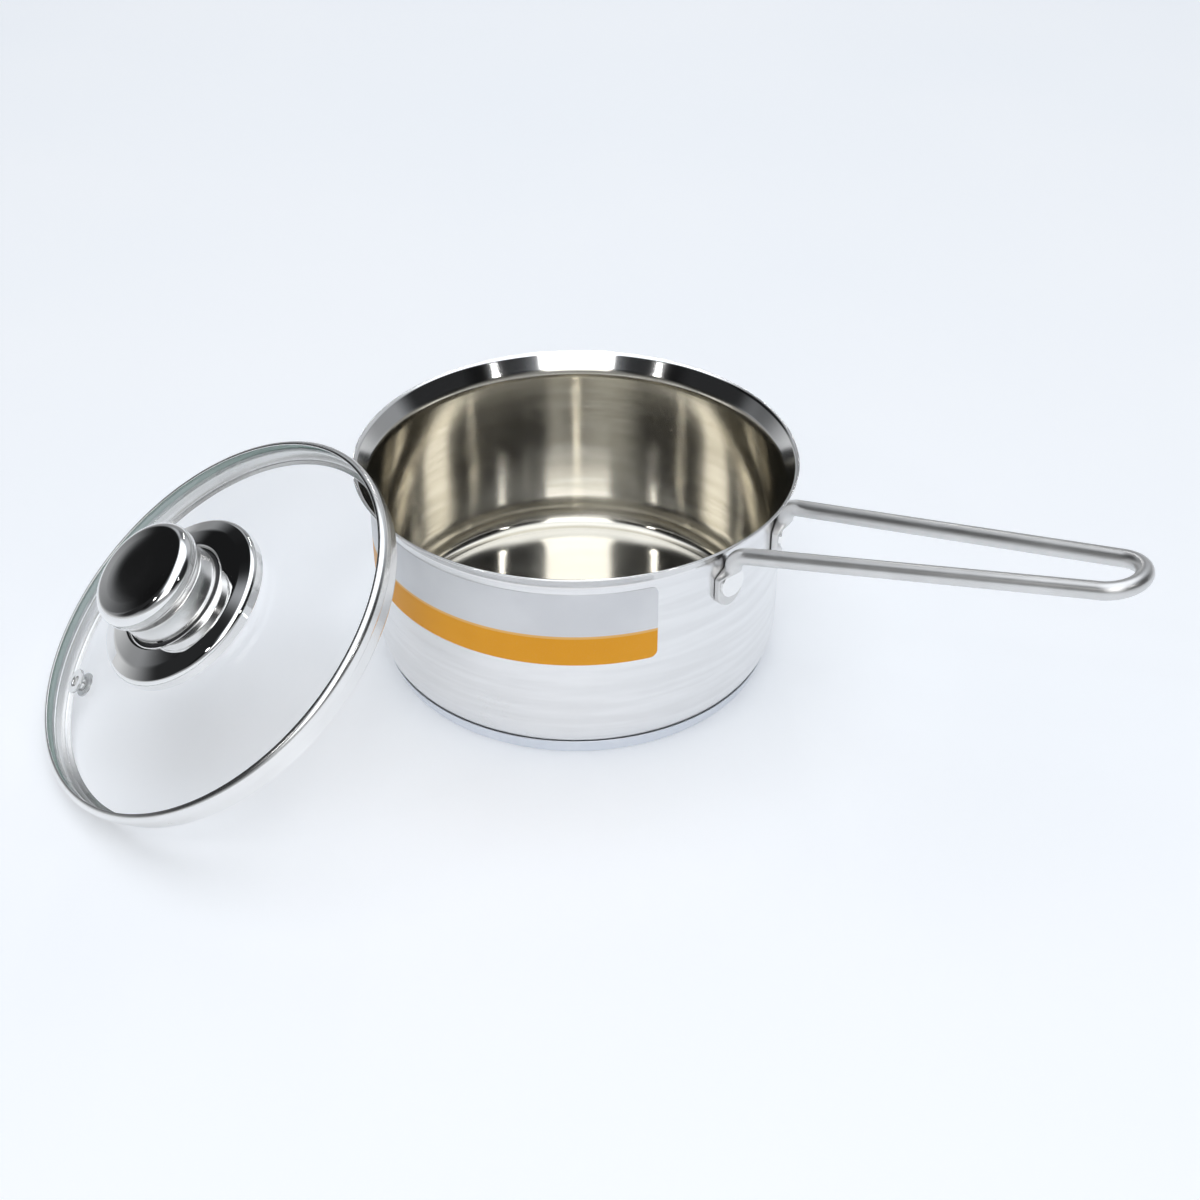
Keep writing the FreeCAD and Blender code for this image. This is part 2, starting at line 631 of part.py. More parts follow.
def lid_parts():
    glass = lid_glass()
    ring = lid_ring()
    return {"lid_glass": glass, "lid_ring": ring, "ring_seal": ring_seal(glass, ring),
            "vent_eyelet": vent_eyelet(),
            "vent_seal_upper": vent_seal(CROWN - SEAT_GAP, CROWN + VENT_SEAL_THICKNESS, glass),
            "vent_seal_lower": vent_seal(UNDER_CROWN - VENT_SEAL_THICKNESS, UNDER_CROWN + SEAT_GAP, glass),
            "knob_dish": knob_dish(), "knob_neck": knob_neck(), "knob_cap": knob_cap(),
            "insulating_ring": insulating_ring(), "knob_core": knob_core(),
            "knob_insert": knob_insert(), "knob_screw": knob_screw(),
            "screw_washer": screw_washer(), "under_gasket": under_gasket(glass),
            "dish_gasket": dish_gasket(glass)}


parts = pan_parts()
placement = leaning_placement()
for name, shape in lid_parts().items():
    shape.Placement = placement.multiply(shape.Placement)
    parts[name] = shape
for name, shape in parts.items():
    solid = shape.Solids[0] if len(shape.Solids) == 1 else shape
    solid.exportStep("parts/" + name + ".step")
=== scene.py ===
import json
import math

import bmesh
import bpy
import numpy as np
from mathutils import Matrix, Vector


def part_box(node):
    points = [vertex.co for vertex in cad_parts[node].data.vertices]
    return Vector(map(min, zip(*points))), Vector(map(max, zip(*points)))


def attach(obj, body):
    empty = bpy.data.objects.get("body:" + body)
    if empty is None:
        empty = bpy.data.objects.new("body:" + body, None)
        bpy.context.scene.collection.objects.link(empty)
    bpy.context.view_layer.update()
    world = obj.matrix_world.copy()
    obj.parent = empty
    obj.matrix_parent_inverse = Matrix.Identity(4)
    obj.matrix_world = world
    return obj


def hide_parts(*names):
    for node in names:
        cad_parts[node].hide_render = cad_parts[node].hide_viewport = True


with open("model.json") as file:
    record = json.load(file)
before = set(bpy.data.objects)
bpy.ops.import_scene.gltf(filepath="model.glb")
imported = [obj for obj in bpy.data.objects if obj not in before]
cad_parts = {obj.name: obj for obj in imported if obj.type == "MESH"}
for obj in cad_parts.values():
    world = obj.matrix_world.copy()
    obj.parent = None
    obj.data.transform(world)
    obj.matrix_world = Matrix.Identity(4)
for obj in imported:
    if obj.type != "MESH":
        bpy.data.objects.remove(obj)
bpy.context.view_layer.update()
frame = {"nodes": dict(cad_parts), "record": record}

MM = 0.001

# ---- vessel and base cap, in millimetres and degrees, as in the solid model ----
WALL = 80.0
HEIGHT = 86.8
SHEET = 0.7
RIM = 85.75
UNDERSIDE = 5.1
CORNER_TURN = 60.0
CORNER_LOWER_BEND = 6.3
CORNER_UPPER_BEND = 20.3
CORNER_SLACK = 0.1
FLARE_HEIGHT = 7.4
FLARE_ANGLE = 36.0
FLARE_BEND = 6.65
LIP_ANGLE = 20.0
LIP_BEND = 2.0
CAP_SHEET = 0.5
CAP_TOP = 7.7
CAP_TAPER = 21.0
CAP_BEND = 3.0
CAP_GAP = 0.15

# ---- handle and rivets ----
ROD = 3.15
STEM = 83.4
REACH = 223.5
RISE = 12.5
SPREAD = 13.6
STEM_BELOW_RIM = 6.2
STEM_BEND = 6.5
LOOP_BEND = 11.2
BLADE_HALF_WIDTH = 6.0
BLADE_THICKNESS = 2.6
BLADE_HALF_DEPTH = 1.27
BLADE_TAIL = 9.7
BLADE_ROUND = 4.6
BLADE_NARROWS = 4.3
BLADE_FALL = 2.2
BLADE_EDGE = 0.55
BLADE_EASE = 0.6
BLADE_CLEAR = 0.03
FOOT_HALF_WIDTH = 1.2
FOOT_HALF_DEPTH = 1.0
RIVET_Z = 68.6
BLADE_FACE = WALL + BLADE_THICKNESS
RIVET_FREE = 0.02
RIVET_HEAD = 5.6
RIVET_HEAD_HEIGHT = 1.5
RIVET_FLAT = 3.6
RIVET_FLAT_DROP = 0.03
RIVET_EDGE_DROP = 0.22
RIVET_SHANK = 2.5
RIVET_INNER_HEIGHT = 1.6
INNER_WALL = 79.3

# ---- label: share of its height that is orange, and the azimuth of the crease ----
BAND_SHARE = 0.41
CREASE_AZIMUTH = -83.0

# ---- lid: glass, ring and seal, in the lid's own frame ----
LEVEL_HEIGHT = 145.0
LID = 80.0
RING_SHEET = 0.5
RING_LIP = 2.4
RING_BEAD = 5.5
RING_HEIGHT = 11.2
SKIRT = 78.0
FOOT_FLANGE = 2.4
CROWN = 12.3
GLASS = 3.0
GLASS_EDGE = 78.7
GLASS_HOLE = 4.0
GLASS_SPHERE = 238.35
SEAL_GRIP = 0.55
SEAL_FREE = 0.02
SEAL_FACE_FREE = 0.03

# ---- knob ----
KNOB_SHEET = 0.6
SCREW_HOLE = 2.9
RECESS_FLOOR = 13.2
RECESS = 20.9
DISH_RIDGE = 17.9
DISH_FLANK = (28.6, 16.5)
DISH_EDGE = 34.3
DISH_EDGE_TOP = 14.8
DISH_FOOT = 10.3
NECK = 19.5
NECK_FOOT = 13.6
NECK_WAIST = 0.5
NECK_WAIST_FROM = 18.73
NECK_WAIST_TO = 25.92
NECK_TOP = 29.0
NECK_FLARE = 20.4
CAP_WALL = 21.0
CAP_LIP = 1.2
CAP_LOW = 29.4
CAP_SHOULDER = 35.8
CAP_CROWN = 36.9
WEEP_AZIMUTH = -60.3
WEEP_HEIGHT = 18.5
WEEP_ACROSS_SQUARED = (1.5, 1.9)
WEEP_UP_SQUARED = (0.30, 0.42)
WEEP_SIDE = (10.0, 11.0)


# ---- profile helpers: points are (radius, height) ----
EDGE_STEPS = 14


def direction(a, b):
    """Unit vector from a to b."""
    d = np.subtract(b, a)
    return d / np.hypot(*d)


def turn(points, i):
    """Signed turn of a path at its inner point i."""
    a = direction(points[i - 1], points[i])
    b = direction(points[i], points[i + 1])
    return math.atan2(a[0] * b[1] - a[1] * b[0], a @ b)


def shifted(points, distance):
    """The path moved sideways by mitred corners, to the left when distance is positive."""
    result = []
    for i, p in enumerate(points):
        a = direction(points[max(i - 1, 0)], points[max(i, 1)])
        b = direction(points[min(i, len(points) - 2)], points[min(i + 1, len(points) - 1)])
        normal = np.array([-(a[1] + b[1]), a[0] + b[0]])
        result.append(np.array(p, float) + normal * distance / (1 + a @ b))
    return result


def arc(centre, start, sweep, steps):
    """Points on a circle about centre, from start through the signed angle sweep."""
    angle = np.linspace(0, sweep, steps + 1)[:, None]
    d = np.subtract(start, centre)
    across = np.array([-d[1], d[0]])
    return np.add(centre, np.cos(angle) * d + np.sin(angle) * across)


def run(a, b):
    """Points of a straight run: close to both ends, and evenly between."""
    length = np.hypot(*np.subtract(b, a))
    near = min(0.04, length / 8)
    inner = np.linspace(near, length - near, max(2, int(length / 6) + 1))
    return np.add(a, np.outer(inner / length, np.subtract(b, a)))


def rounded(points, bends, step=3.0):
    """A path whose inner corners are arcs of the given radii, as one dense run of points.

    An arc's tangent length is its radius times the tangent of half the corner's turn, and it gets
    a point for each step of turn, in degrees.
    """
    pieces = [np.array([points[0]], float)]
    start = np.array(points[0], float)
    for i in range(1, len(points) - 1):
        angle = turn(points, i)
        tangent = bends[i - 1] * math.tan(abs(angle) / 2)
        corner = np.array(points[i], float)
        first = corner - direction(points[i - 1], corner) * tangent
        ahead = direction(points[i - 1], corner)
        centre = first + math.copysign(bends[i - 1], angle) * np.array([-ahead[1], ahead[0]])
        steps = max(3, int(math.degrees(abs(angle)) / step))
        curve = arc(centre, first, angle, steps)
        pieces += [run(start, first), curve]
        start = curve[-1]
    last = np.array(points[-1], float)
    pieces += [run(start, last), last[None]]
    return np.concatenate(pieces)


def sheet_outline(points, bends, thickness, round_start=False, round_end=True):
    """Outline of bent sheet of one thickness about a middle path, with round or flat ends.

    It runs along the right side, round the far end and back along the left side.
    """
    half = thickness / 2
    signs = [math.copysign(half, turn(points, i)) for i in range(1, len(points) - 1)]
    left = rounded(shifted(points, half), [b - s for b, s in zip(bends, signs)])
    right = rounded(shifted(points, -half), [b + s for b, s in zip(bends, signs)])
    pieces = [right]
    if round_end:
        pieces.append(arc(points[-1], right[-1], math.pi, EDGE_STEPS)[1:-1])
    pieces.append(left[::-1])
    if round_start:
        pieces.append(arc(points[0], left[0], math.pi, EDGE_STEPS)[1:-1])
    return np.concatenate(pieces)


# ---- mesh helpers ----
def build(name, verts, faces, placement=None, sharp=35.0):
    """Mesh object from arrays of points in millimetres and of faces, smooth except at sharp edges."""
    verts = np.asarray(verts, float)
    if placement is not None:
        matrix = np.array(placement)
        verts = verts @ matrix[:3, :3].T + matrix[:3, 3]
    mesh = bpy.data.meshes.new(name)
    mesh.from_pydata((verts * MM).tolist(), [], [tuple(f) for f in faces])
    mesh.validate()
    mesh.polygons.foreach_set("use_smooth", np.ones(len(mesh.polygons), bool))
    mesh.set_sharp_from_angle(angle=math.radians(sharp))
    obj = bpy.data.objects.new(name, mesh)
    bpy.context.collection.objects.link(obj)
    return obj


def outward(obj):
    """Close the seams of a piece and make every face point outwards."""
    mesh = bmesh.new()
    mesh.from_mesh(obj.data)
    bmesh.ops.remove_doubles(mesh, verts=mesh.verts, dist=1e-7)
    bmesh.ops.recalc_face_normals(mesh, faces=mesh.faces)
    mesh.to_mesh(obj.data)
    mesh.free()
    return obj


def grid_faces(rows, columns, close_rows, close_columns):
    """Quads of a grid of points whose index is row * columns + column."""
    r = np.arange(rows if close_rows else rows - 1)[:, None]
    c = np.arange(columns if close_columns else columns - 1)[None, :]
    r1 = (r + 1) % rows
    c1 = (c + 1) % columns
    quads = np.stack([r * columns + c, r * columns + c1, r1 * columns + c1, r1 * columns + c], -1)
    return quads.reshape(-1, 4).tolist()


def spun(name, outline, placement=None, around=288, on_axis=False):
    """Surface of revolution: radius times (cos, sin) of the turn, height unchanged.

    The outline is a closed loop, or with on_axis starts and ends on the axis, where fans close it.
    """
    body = outline[1:-1] if on_axis else outline
    angle = np.linspace(0, 2 * math.pi, around, endpoint=False)
    x = np.outer(body[:, 0], np.cos(angle))
    y = np.outer(body[:, 0], np.sin(angle))
    z = np.repeat(body[:, 1:2], around, 1)
    verts = np.stack([x, y, z], -1).reshape(-1, 3)
    faces = grid_faces(len(body), around, not on_axis, True)
    faces = [f[::-1] for f in faces]
    if on_axis:
        count = len(verts)
        poles = np.array([[0, 0, outline[0, 1]], [0, 0, outline[-1, 1]]])
        verts = np.concatenate([verts, poles])
        k = np.arange(around)
        first = np.stack([np.full(around, count), k, (k + 1) % around], -1)[:, ::-1]
        last = np.stack([np.full(around, count + 1), k, (k + 1) % around], -1)
        last[:, 1:] += (len(body) - 1) * around
        faces += first.tolist() + last.tolist()
    return build(name, verts, faces, placement)


# ---- placements ----
def lid_placement():
    """The lid's own frame: level above the pan, then turned about the swing's axis to its rest."""
    joint = next(j for j in frame["record"]["behaviour"]["joints"] if j["name"] == "lid_swing")
    pivot = Vector(joint["pos_m"]) / MM
    lean = Matrix.Rotation(-math.radians(joint["range_deg"][1]), 4, Vector(joint["axis"]))
    level = Matrix.Translation((0, 0, LEVEL_HEIGHT))
    return Matrix.Translation(pivot) @ lean @ Matrix.Translation(-pivot) @ level


LID_PLACE = lid_placement()


def radial(azimuth):
    """Placement that turns +Z of a lathe shape to point out of the wall at the rivet's height."""
    turn_out = Matrix.Rotation(math.radians(azimuth), 4, "Z")
    lay = Matrix.Rotation(math.radians(90), 4, "Y")
    return Matrix.Translation((0, 0, RIVET_Z)) @ turn_out @ lay


# ---- shader helpers ----
class Value:
    """A node socket that can be used in arithmetic; each operation makes one Math node."""

    def __init__(self, paint, socket):
        self.paint = paint
        self.socket = socket

    def math(self, operation, *others):
        """One Math node on this value and others."""
        return self.paint.node("ShaderNodeMath", {"operation": operation}, [self, *others])

    def __add__(self, other):
        return self.math("ADD", other)

    __radd__ = __add__

    def __sub__(self, other):
        return self.math("SUBTRACT", other)

    def __rsub__(self, other):
        return self.paint.node("ShaderNodeMath", {"operation": "SUBTRACT"}, [other, self])

    def __mul__(self, other):
        return self.math("MULTIPLY", other)

    __rmul__ = __mul__

    def __truediv__(self, other):
        return self.math("DIVIDE", other)

    def power(self, other):
        """This value to a power."""
        return self.math("POWER", other)

    def ramp(self, low, high, a=0.0, b=1.0):
        """Smooth step from a at low to b at high."""
        node = {"interpolation_type": "SMOOTHSTEP"}
        return self.paint.node("ShaderNodeMapRange", node, [self, low, high, a, b])


class Nodes:
    """Makes nodes in one node tree."""

    def __init__(self, tree):
        self.tree = tree

    def node(self, kind, settings, values=(), output=0, named=None):
        """One node of a kind: settings first, then values or links by socket number or name."""
        node = self.tree.nodes.new(kind)
        for key, value in settings.items():
            setattr(node, key, value)
        pairs = list(enumerate(values)) + list((named or {}).items())
        for key, value in pairs:
            if isinstance(value, Value):
                self.tree.links.new(value.socket, node.inputs[key])
            else:
                socket = node.inputs[key]
                if hasattr(socket.default_value, "__len__") and not hasattr(value, "__len__"):
                    value = [value] * len(socket.default_value)
                elif socket.type == "RGBA" and len(value) == 3:
                    value = (*value, 1.0)
                socket.default_value = value
        return Value(self, node.outputs[output])

    def position(self):
        """Object coordinates, in metres, in the frame of the whole object."""
        return self.node("ShaderNodeTexCoord", {}, output=3)

    def split(self, vector):
        """The three parts of a vector."""
        parts = self.node("ShaderNodeSeparateXYZ", {}, [vector])
        outputs = parts.socket.node.outputs
        return [Value(self, outputs[i]) for i in range(3)]

    def join(self, x, y, z):
        """A vector from three values or numbers."""
        return self.node("ShaderNodeCombineXYZ", {}, [x, y, z])

    def noise(self, vector, scale, detail=3.0, roughness=0.55):
        """Cloudy value between 0 and 1."""
        return self.node("ShaderNodeTexNoise", {}, named={
            "Vector": vector, "Scale": scale, "Detail": detail, "Roughness": roughness})

    def mix(self, factor, a, b):
        """Colour between a and b."""
        node = self.tree.nodes.new("ShaderNodeMix")
        node.data_type = "RGBA"
        for index, value in ((0, factor), (6, a), (7, b)):
            if isinstance(value, Value):
                self.tree.links.new(value.socket, node.inputs[index])
            elif index == 0:
                node.inputs[index].default_value = value
            else:
                node.inputs[index].default_value = (*value, 1.0)
        return Value(self, node.outputs[2])


class Paint(Nodes):
    """One procedural material: a Principled shader and the nodes that feed it."""

    def __init__(self, name, **constants):
        self.material = bpy.data.materials.new(name)
        self.material.use_nodes = True
        super().__init__(self.material.node_tree)
        self.shader = self.tree.nodes["Principled BSDF"]
        for key, value in constants.items():
            socket = self.shader.inputs[key.replace("_", " ")]
            if socket.type == "RGBA":
                value = (*value, 1.0)
            socket.default_value = value

    def feed(self, key, value):
        """Link a value to one of the shader's sockets."""
        self.tree.links.new(value.socket, self.shader.inputs[key])

    def bump(self, height, strength, distance):
        """Raise and sink the surface's shading by a height value."""
        bumped = self.node("ShaderNodeBump", {}, named={
            "Strength": strength, "Distance": distance, "Height": height})
        self.feed("Normal", bumped)


def radius_of(x, y):
    """Distance from the upright axis: the root of x squared plus y squared."""
    return (x * x + y * y).power(0.5)


def turn_of(x, y):
    """Angle about the upright axis, in radians."""
    return x.paint.node("ShaderNodeMath", {"operation": "ARCTAN2"}, [y, x])


def lid_point(paint):
    """The shaded point in the lid's own frame, in metres, worked out from object coordinates."""
    inverse = LID_PLACE.inverted()
    p = paint.position()
    rows = []
    for i in range(3):
        dot = paint.node("ShaderNodeVectorMath", {"operation": "DOT_PRODUCT"},
                         [p, tuple(inverse[i][:3])], output=1)
        rows.append(dot + inverse[i][3] * MM)
    return rows


# ---- materials ----
def fine_wear(paint, vector, amount):
    """Soft smudges and faint specks as a roughness change."""
    smudge = paint.noise(vector, 35.0, 4.0, 0.6).ramp(0.42, 0.72)
    speck = paint.noise(vector, 900.0, 2.0, 0.6).ramp(0.55, 0.8)
    return smudge * amount + speck * (amount * 0.15)


def pan_steel():
    """Brushed round the axis on the walls, spun rings on the floor, near-mirror on the flared rim.

    The face's own normal tells the outside of the wall from the inside: it points away from the axis
    outside, towards it inside, and up on the floor.
    """
    paint = Paint("pan_steel_brushed", Metallic=1.0, Anisotropic=0.8, Anisotropic_Rotation=0.25)
    p = paint.position()
    x, y, z = paint.split(p)
    radius = radius_of(x, y)
    angle = turn_of(x, y)
    rings = paint.noise(paint.join(angle * 0.25, 0.0, z * 420.0), 9.0, 5.0, 0.7)
    fine = paint.noise(paint.join(angle * 0.6, 0.0, z * 1500.0), 8.0, 3.0, 0.6)
    floor_rings = paint.noise(paint.join(angle * 0.2, radius * 620.0, 0.0), 8.0, 4.0, 0.7)
    is_floor = radius.ramp(0.0735, 0.0715)
    lines = rings * (1.0 - is_floor) + floor_rings * is_floor
    flare = z.ramp(0.0786, 0.0796) * radius.ramp(0.0801, 0.0806)
    wear = fine_wear(paint, p, 0.05)
    face_x, face_y, face_z = paint.split(paint.node("ShaderNodeTexCoord", {}, output=1))
    outside = ((face_x * x + face_y * y) / radius - face_z).ramp(-0.15, 0.15)
    brushed = 0.12 + outside * 0.10 + (lines - 0.5) * 0.08 + wear
    paint.feed("Roughness", brushed * (1.0 - flare) + flare * (0.10 + wear * 0.4))
    tone = paint.noise(paint.join(angle * 0.3, radius * 3.0, z * 60.0), 6.0, 3.0).ramp(0.3, 0.7)
    # Painted reflection and painted shade: the same steel is painted darker and warmer inside the wall
    # than outside, for the dim warm surroundings it reflects, and the floor inside is painted lighter
    # than the inside wall.
    inner = paint.mix(tone, (0.66, 0.63, 0.55), (0.74, 0.71, 0.64))
    inner = paint.mix(is_floor, inner, (0.84, 0.83, 0.80))
    outer = paint.mix(tone, (0.80, 0.80, 0.80), (0.86, 0.86, 0.86))
    colour = paint.mix(outside, inner, outer)
    paint.feed("Base Color", paint.mix(flare, colour, (0.9, 0.895, 0.885)))
    paint.bump((lines * 0.7 + fine * 0.3) * (1.0 - flare), 0.02, 0.0003)
    return paint.material


def base_steel():
    """Satin spun cap with fine turning lines on its side and rings underneath."""
    paint = Paint("base_cap_spun_steel", Metallic=1.0, Anisotropic=0.5)
    p = paint.position()
    x, y, z = paint.split(p)
    radius = radius_of(x, y)
    angle = turn_of(x, y)
    side = paint.noise(paint.join(angle * 0.3, 0.0, z * 900.0), 9.0, 4.0, 0.65)
    under = paint.noise(paint.join(angle * 0.2, radius * 700.0, 0.0), 9.0, 4.0, 0.65)
    below = z.ramp(0.0012, 0.0004)
    lines = side * (1.0 - below) + under * below
    paint.feed("Roughness", 0.30 + (lines - 0.5) * 0.2 + fine_wear(paint, p, 0.06))
    scuff = paint.noise(p, 60.0, 5.0, 0.7).ramp(0.45, 0.75)
    paint.feed("Base Color", paint.mix(scuff, (0.76, 0.79, 0.84), (0.83, 0.85, 0.89)))
    paint.bump(lines, 0.15, 0.0003)
    return paint.material


def rod_steel():
    """Satin bar stock: drawing lines along the rod, slight wiping marks."""
    paint = Paint("handle_satin_steel", Metallic=1.0)
    p = paint.position()
    x, y, z = paint.split(p)
    drawn = paint.noise(paint.join(x * 30.0, y * 1100.0, z * 1100.0), 1.0, 3.0, 0.6)
    paint.feed("Roughness", 0.34 + (drawn - 0.5) * 0.12 + fine_wear(paint, p, 0.05))
    tone = paint.noise(p, 45.0, 3.0).ramp(0.35, 0.7)
    paint.feed("Base Color", paint.mix(tone, (0.66, 0.655, 0.645), (0.73, 0.725, 0.715)))
    paint.bump(drawn, 0.06, 0.0002)
    return paint.material


def painted_slot_shade(x, y, z):
    """1 on the small slot at the foot of the knob's neck, where near-black painted shade stands for its
    hollow, 0 elsewhere.

    The slot is where the squares of the distance across its direction and of the height from its
    middle, in square millimetres, are both small, on the side that its direction points to.
    """
    way_x = math.cos(math.radians(WEEP_AZIMUTH))
    way_y = math.sin(math.radians(WEEP_AZIMUTH))
    across = (y * way_x - x * way_y) / MM
    along = (x * way_x + y * way_y) / MM
    rise = z / MM - WEEP_HEIGHT
    wide = (across * across).ramp(*WEEP_ACROSS_SQUARED, 1.0, 0.0)
    tall = (rise * rise).ramp(*WEEP_UP_SQUARED, 1.0, 0.0)
    return wide * tall * along.ramp(*WEEP_SIDE)


def polished(name, light, dark, rough, lid_frame=True, swirl=500.0, slotted=False):
    """Polished steel with faint concentric buffing marks, finger smudges and, if slotted, the slot
    painted in as near-black painted shade.
    """
    paint = Paint(name, Metallic=1.0)
    p = paint.position()
    x, y, z = lid_point(paint) if lid_frame else paint.split(p)
    buff = paint.noise(paint.join(radius_of(x, y) * swirl, z * swirl, 0.0), 4.0, 3.0, 0.6)
    paint.feed("Roughness", rough + (buff - 0.5) * rough * 0.25 + fine_wear(paint, p, rough * 0.3))
    tone = paint.noise(p, 40.0, 3.0).ramp(0.3, 0.7)
    colour = paint.mix(tone, dark, light)
    if slotted:
        # The slot is not cut in this mesh: a near-black, non-metallic patch of painted shade stands for
        # its hollow.
        slot = painted_slot_shade(x, y, z)
        colour = paint.mix(slot, colour, (0.006, 0.006, 0.006))
        paint.feed("Metallic", 1.0 - slot)
    paint.feed("Base Color", colour)
    paint.bump(buff, 0.003, 0.0001)
    return paint.material


def clear_glass():
    """Clear tempered glass: reflects by angle, green in the thickness of its edges, faint wiping haze.

    Cover grows with the fifth power of how far the surface turns away, on top of a small even part.
    """
    paint = Paint("lid_clear_glass", Specular_IOR_Level=0.5)
    p = paint.position()
    x, y = lid_point(paint)[:2]
    radius = radius_of(x, y)
    rim = radius.ramp((GLASS_EDGE - 0.5) * MM, (GLASS_EDGE - 0.05) * MM)
    hole = radius.ramp((GLASS_HOLE + 0.15) * MM, (GLASS_HOLE + 0.02) * MM)
    edge = paint.node("ShaderNodeMath", {"operation": "MAXIMUM"}, [rim, hole])
    grazing = paint.node("ShaderNodeLayerWeight", {}, [0.5], output=1).power(5.0)
    haze = paint.noise(p, 28.0, 4.0, 0.6).ramp(0.5, 0.8)
    dust = paint.noise(p, 2600.0, 1.0, 0.5).ramp(0.76, 0.82)
    paint.feed("Alpha", grazing * 0.8 + edge * 0.5 + haze * 0.006 + dust * 0.02 + 0.035)
    paint.feed("Metallic", 1.0 - edge)
    paint.feed("Base Color", paint.mix(edge, (0.97, 0.985, 1.0), (0.30, 0.46, 0.40)))
    paint.feed("Roughness", 0.015 + haze * 0.02 + edge * 0.1)
    return paint.material


def rubber(name):
    """Matte black moulded rubber with a fine grain and grey bloom."""
    paint = Paint(name, Specular_IOR_Level=0.35)
    p = paint.position()
    grain = paint.noise(p, 1800.0, 3.0, 0.6)
    bloom = paint.noise(p, 90.0, 3.0).ramp(0.45, 0.8)
    paint.feed("Base Color", paint.mix(bloom, (0.012, 0.012, 0.013), (0.03, 0.03, 0.032)))
    paint.feed("Roughness", 0.55 + grain * 0.2)
    paint.bump(grain, 0.2, 0.0001)
    return paint.material


def clear_silicone():
    """Translucent moulded silicone: cloudy inside, satin skin."""
    paint = Paint("seal_clear_silicone", Specular_IOR_Level=0.4)
    p = paint.position()
    cloud = paint.noise(p, 220.0, 3.0, 0.6).ramp(0.3, 0.75)
    grain = paint.noise(p, 1800.0, 2.0, 0.6)
    paint.feed("Base Color", paint.mix(cloud, (0.74, 0.77, 0.78), (0.84, 0.86, 0.87)))
    paint.feed("Alpha", 0.35 + cloud * 0.2)
    paint.feed("Roughness", 0.3 + grain * 0.2)
    paint.bump(grain, 0.1, 0.00008)
    return paint.material


def black_plastic():
    """Satin moulded plastic with a fine grain."""
    paint = Paint("knob_black_plastic", Specular_IOR_Level=0.5)
    p = paint.position()
    grain = paint.noise(p, 2200.0, 2.0, 0.5)
    tone = paint.noise(p, 60.0, 2.0).ramp(0.4, 0.7)
    paint.feed("Base Color", paint.mix(tone, (0.008, 0.008, 0.009), (0.02, 0.02, 0.021)))
    paint.feed("Roughness", 0.35 + grain * 0.2)
    paint.bump(grain, 0.15, 0.00008)
    return paint.material


def turned_metal(name, dark, light, rough):
    """Turned or rolled metal of the hidden parts."""
    paint = Paint(name, Metallic=1.0)
    p = paint.position()
    x, y, z = paint.split(p)
    lines = paint.noise(paint.join(x * 60.0, y * 60.0, z * 1400.0), 3.0, 3.0, 0.6)
    tone = paint.noise(p, 120.0, 3.0).ramp(0.35, 0.7)
    paint.feed("Base Color", paint.mix(tone, dark, light))
    paint.feed("Roughness", rough + (lines - 0.5) * 0.2)
    paint.bump(lines, 0.1, 0.0002)
    return paint.material


def label_paper():
    """Blank coated sleeve: orange band below with a pale edge, silver-grey band above, faint crease."""
    paint = Paint("label_coated_paper", Specular_IOR_Level=0.3, Coat_Weight=0.03, Coat_Roughness=0.3)
    p = paint.position()
    x, y, z = paint.split(p)
    fibre = paint.noise(p, 1500.0, 3.0, 0.6)
    tone = paint.noise(p, 25.0, 3.0).ramp(0.3, 0.7)
    low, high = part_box("label")
    band = low.z + BAND_SHARE * (high.z - low.z)
    upper = z.ramp(band - 0.00015, band + 0.00015)
    edge = z.ramp(band - 0.0012, band - 0.0009) * (1.0 - upper)
    orange = paint.mix(tone, (0.82, 0.345, 0.004), (0.86, 0.37, 0.008))
    orange = paint.mix(edge * 0.6, orange, (0.9, 0.6, 0.25))
    silver = paint.mix(tone, (0.66, 0.665, 0.68), (0.74, 0.745, 0.755))
    colour = paint.mix(upper, orange, silver)
    colour = paint.mix(fibre.ramp(0.5, 0.9, 0.0, 0.05), colour, (0.9, 0.88, 0.85))
    paint.feed("Metallic", upper * 0.75)
    paint.feed("Base Color", colour)
    paint.feed("Roughness", 0.42 + (fibre - 0.5) * 0.2)
    crease = (turn_of(x, y) - math.radians(CREASE_AZIMUTH)) * 60.0
    fold = (crease * crease).ramp(0.02, 0.0)
    paint.bump(fibre * 0.4 + fold * 0.8, 0.12, 0.0003)
    return paint.material

STEEL = (0.90, 0.895, 0.885)
STEEL_DARK = (0.84, 0.835, 0.825)
LOOKS = {
    "pan_steel": pan_steel(),
    "base_steel": base_steel(),
    "handle_steel": rod_steel(),
    "rivet_steel": polished("rivet_polished_steel", (0.93, 0.925, 0.92), STEEL, 0.07, False, 900.0),
    "ring_steel": polished("lid_ring_bright_steel", STEEL, STEEL_DARK, 0.22),
    "knob_steel": polished("knob_dish_mirror_steel", STEEL, STEEL_DARK, 0.035),
    "neck_steel": polished("knob_neck_steel", STEEL, STEEL_DARK, 0.20, slotted=True),
    "cap_steel": polished("knob_cap_mirror_steel", STEEL, STEEL_DARK, 0.08),
    "eyelet_steel": polished("vent_eyelet_steel", STEEL, STEEL_DARK, 0.06),
    "screw_steel": polished("screw_plated_steel", (0.8, 0.8, 0.8), (0.7, 0.7, 0.7), 0.15),
    "lid_glass": clear_glass(),
    "seal_rubber": rubber("seal_black_rubber"),
    "seal_silicone": clear_silicone(),
    "black_plastic": black_plastic(),
    "label_paper": label_paper(),
    "core_aluminium": turned_metal("core_aluminium", (0.72, 0.73, 0.74), (0.82, 0.83, 0.84), 0.4),
    "insert_brass": turned_metal("insert_brass", (0.62, 0.42, 0.16), (0.75, 0.55, 0.25), 0.3),
}
slot_of = {row["node"]: row["material_slot"] for row in frame["record"]["subparts"]}
